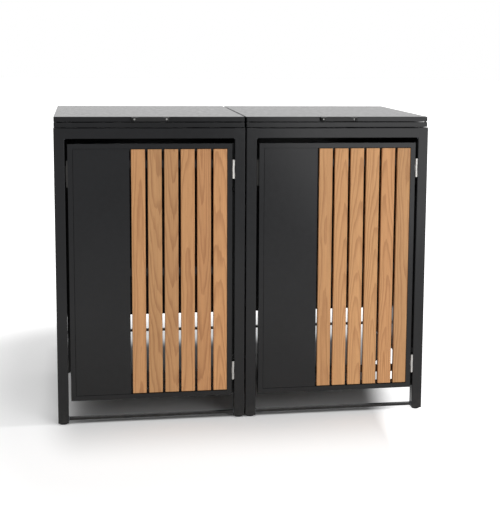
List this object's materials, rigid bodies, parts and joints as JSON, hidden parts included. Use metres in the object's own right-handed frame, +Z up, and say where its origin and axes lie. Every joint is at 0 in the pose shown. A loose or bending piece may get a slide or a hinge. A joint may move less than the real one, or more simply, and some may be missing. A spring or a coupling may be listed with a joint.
{
  "type": "wheelie bin store",
  "caption": "Steel-framed wheelie bin store with hinged front doors of sheet panel and timber slats, and lids that lift on gas struts.",
  "frame": {"origin": "bottom centre of the bounding box, on the ground under the middle of the store", "axes": "+Z up, front with the doors towards -Y, +X to the right when seen from the front"},
  "size_m": [1.437, 0.7845, 1.18],
  "materials": {
    "anthracite_powder_coat": "fine textured satin powder coat, anthracite grey",
    "oiled_timber": "planed and oiled, matt",
    "stainless_steel": "brushed",
    "bright_steel": "zinc plated",
    "black_paint": "satin black",
    "black_plastic": "matt moulded",
    "black_rubber": "matt"
  },
  "bodies": {
    "frame": {"left_module_left_side_frame": "anthracite_powder_coat", "left_module_right_side_frame": "anthracite_powder_coat", "left_module_header_rail": "anthracite_powder_coat", "left_module_rear_top_rail": "anthracite_powder_coat", "left_module_front_tie_bar": "anthracite_powder_coat", "left_module_rear_stop_rail": "anthracite_powder_coat", "left_module_left_side_panel": "anthracite_powder_coat", "left_module_right_side_panel": "anthracite_powder_coat", "left_module_rear_panel": "anthracite_powder_coat", "left_module_top_ring": "anthracite_powder_coat", "right_module_left_side_frame": "anthracite_powder_coat", "right_module_right_side_frame": "anthracite_powder_coat", "right_module_header_rail": "anthracite_powder_coat", "right_module_rear_top_rail": "anthracite_powder_coat", "right_module_front_tie_bar": "anthracite_powder_coat", "right_module_rear_stop_rail": "anthracite_powder_coat", "right_module_left_side_panel": "anthracite_powder_coat", "right_module_right_side_panel": "anthracite_powder_coat", "right_module_rear_panel": "anthracite_powder_coat", "right_module_top_ring": "anthracite_powder_coat", "foot_glides": "black_plastic", "panel_rivets": "bright_steel", "ring_spacers": "black_rubber", "lid_buffers": "black_rubber", "door_hinge_post_leaves": "stainless_steel", "door_hinge_pins": "stainless_steel", "lid_hinge_frame_leaves": "stainless_steel", "lid_hinge_pins": "stainless_steel", "magnetic_catches": "black_plastic", "joining_bolts": "black_paint"},
    "left_module_door": {"left_module_door_frame": "anthracite_powder_coat", "left_module_door_panel": "anthracite_powder_coat", "left_module_door_slat_1": "oiled_timber", "left_module_door_slat_2": "oiled_timber", "left_module_door_slat_3": "oiled_timber", "left_module_door_slat_4": "oiled_timber", "left_module_door_slat_5": "oiled_timber", "left_module_door_slat_6": "oiled_timber", "left_module_slat_screws": "stainless_steel", "left_module_door_fittings": "stainless_steel"},
    "left_module_lid": {"left_module_lid_tray": "anthracite_powder_coat", "left_module_lid_handle": "black_plastic", "left_module_lid_hinge_leaves": "stainless_steel"},
    "left_module_strut_cylinders": {"left_module_strut_cylinders": "black_paint"},
    "left_module_strut_rods": {"left_module_strut_rods": "bright_steel"},
    "right_module_door": {"right_module_door_frame": "anthracite_powder_coat", "right_module_door_panel": "anthracite_powder_coat", "right_module_door_slat_1": "oiled_timber", "right_module_door_slat_2": "oiled_timber", "right_module_door_slat_3": "oiled_timber", "right_module_door_slat_4": "oiled_timber", "right_module_door_slat_5": "oiled_timber", "right_module_door_slat_6": "oiled_timber", "right_module_slat_screws": "stainless_steel", "right_module_door_fittings": "stainless_steel"},
    "right_module_lid": {"right_module_lid_tray": "anthracite_powder_coat", "right_module_lid_handle": "black_plastic", "right_module_lid_hinge_leaves": "stainless_steel"},
    "right_module_strut_cylinders": {"right_module_strut_cylinders": "black_paint"},
    "right_module_strut_rods": {"right_module_strut_rods": "bright_steel"}
  },
  "joints": [
    {"name": "left_module_door_hinge", "type": "hinge", "parent": "frame", "child": "left_module_door", "pos_m": [-0.0475, -0.37825, 0.588], "axis": [0, 0, 1], "range_deg": [0, 110]},
    {"name": "left_module_lid_hinge", "type": "hinge", "parent": "frame", "child": "left_module_lid", "pos_m": [-0.3605, 0.38775, 1.16], "axis": [-1, 0, 0], "range_deg": [0, 78]},
    {"name": "left_module_strut_pivot", "type": "hinge", "parent": "frame", "child": "left_module_strut_cylinders", "pos_m": [-0.3605, 0.26575, 1.02], "axis": [-1, 0, 0], "range_deg": [0, 2.88]},
    {"name": "left_module_strut_slide", "type": "slide", "parent": "left_module_strut_cylinders", "child": "left_module_strut_rods", "axis": [0, 0.4199, 0.9076], "range_m": [0, 0.07545]},
    {"name": "right_module_door_hinge", "type": "hinge", "parent": "frame", "child": "right_module_door", "pos_m": [0.6735, -0.37825, 0.588], "axis": [0, 0, 1], "range_deg": [0, 110]},
    {"name": "right_module_lid_hinge", "type": "hinge", "parent": "frame", "child": "right_module_lid", "pos_m": [0.3605, 0.38775, 1.16], "axis": [-1, 0, 0], "range_deg": [0, 78]},
    {"name": "right_module_strut_pivot", "type": "hinge", "parent": "frame", "child": "right_module_strut_cylinders", "pos_m": [0.3605, 0.26575, 1.02], "axis": [-1, 0, 0], "range_deg": [0, 2.88]},
    {"name": "right_module_strut_slide", "type": "slide", "parent": "right_module_strut_cylinders", "child": "right_module_strut_rods", "axis": [0, 0.4199, 0.9076], "range_m": [0, 0.07545]}
  ],
  "couplings": [
    {"joint": "left_module_strut_pivot", "follows": "left_module_lid_hinge", "ratio": 0.036795},
    {"joint": "left_module_strut_slide", "follows": "left_module_lid_hinge", "m_per_rad": 0.055348},
    {"joint": "right_module_strut_pivot", "follows": "right_module_lid_hinge", "ratio": 0.036795},
    {"joint": "right_module_strut_slide", "follows": "right_module_lid_hinge", "m_per_rad": 0.055348}
  ]
}
